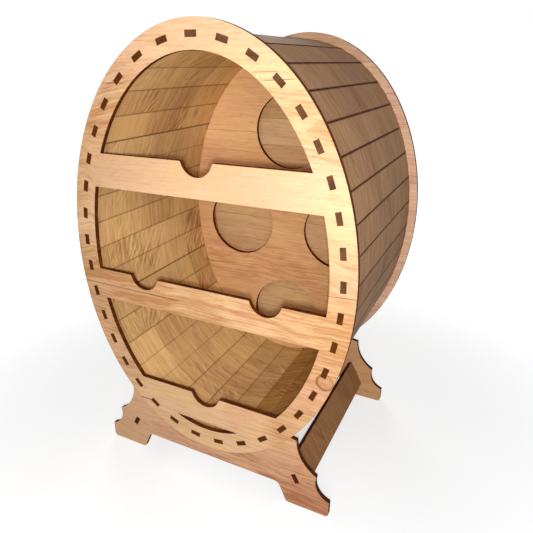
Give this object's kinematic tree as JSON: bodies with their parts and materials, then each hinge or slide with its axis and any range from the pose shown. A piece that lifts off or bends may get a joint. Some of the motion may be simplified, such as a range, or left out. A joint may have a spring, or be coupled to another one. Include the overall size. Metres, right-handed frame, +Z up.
{
  "type": "wine rack",
  "caption": "Oval plywood barrel on a cradle stand; bottles lie with their necks in notched front bars and their bases in round holes in an inner plate.",
  "frame": {"origin": "middle of the bounding box's base, on the surface that the feet stand on", "axes": "+X to the right seen from the front, +Y from the front to the back, +Z up"},
  "size_m": [0.3639, 0.317, 0.5601],
  "materials": {
    "plates": "lacquered oak-faced plywood",
    "staves": "lacquered oak-faced plywood",
    "stand": "lacquered oak-faced plywood"
  },
  "bodies": {
    "stand": {"stand_front": "stand", "stand_rear": "stand", "rail_left": "stand", "rail_right": "stand"},
    "barrel": {"front_plate": "plates", "bottle_plate": "plates", "back_plate": "plates", "stave_01": "staves", "stave_02": "staves", "stave_03": "staves", "stave_04": "staves", "stave_05": "staves", "stave_06": "staves", "stave_07": "staves", "stave_08": "staves", "stave_09": "staves", "stave_10": "staves", "stave_11": "staves", "stave_12": "staves", "stave_13": "staves", "stave_14": "staves", "stave_15": "staves", "stave_16": "staves", "stave_17": "staves", "stave_18": "staves", "stave_19": "staves", "stave_20": "staves", "stave_21": "staves", "stave_22": "staves", "stave_23": "staves", "stave_24": "staves", "stave_25": "staves", "stave_26": "staves", "stave_27": "staves", "stave_28": "staves", "stave_29": "staves", "stave_30": "staves", "stave_31": "staves", "stave_32": "staves", "stave_33": "staves", "stave_34": "staves", "stave_35": "staves", "stave_36": "staves", "stave_37": "staves"}
  },
  "joints": [
    {"name": "barrel_lift", "type": "slide", "parent": "stand", "child": "barrel", "axis": [0, 0, 1], "range_m": [0, 0.1]}
  ]
}
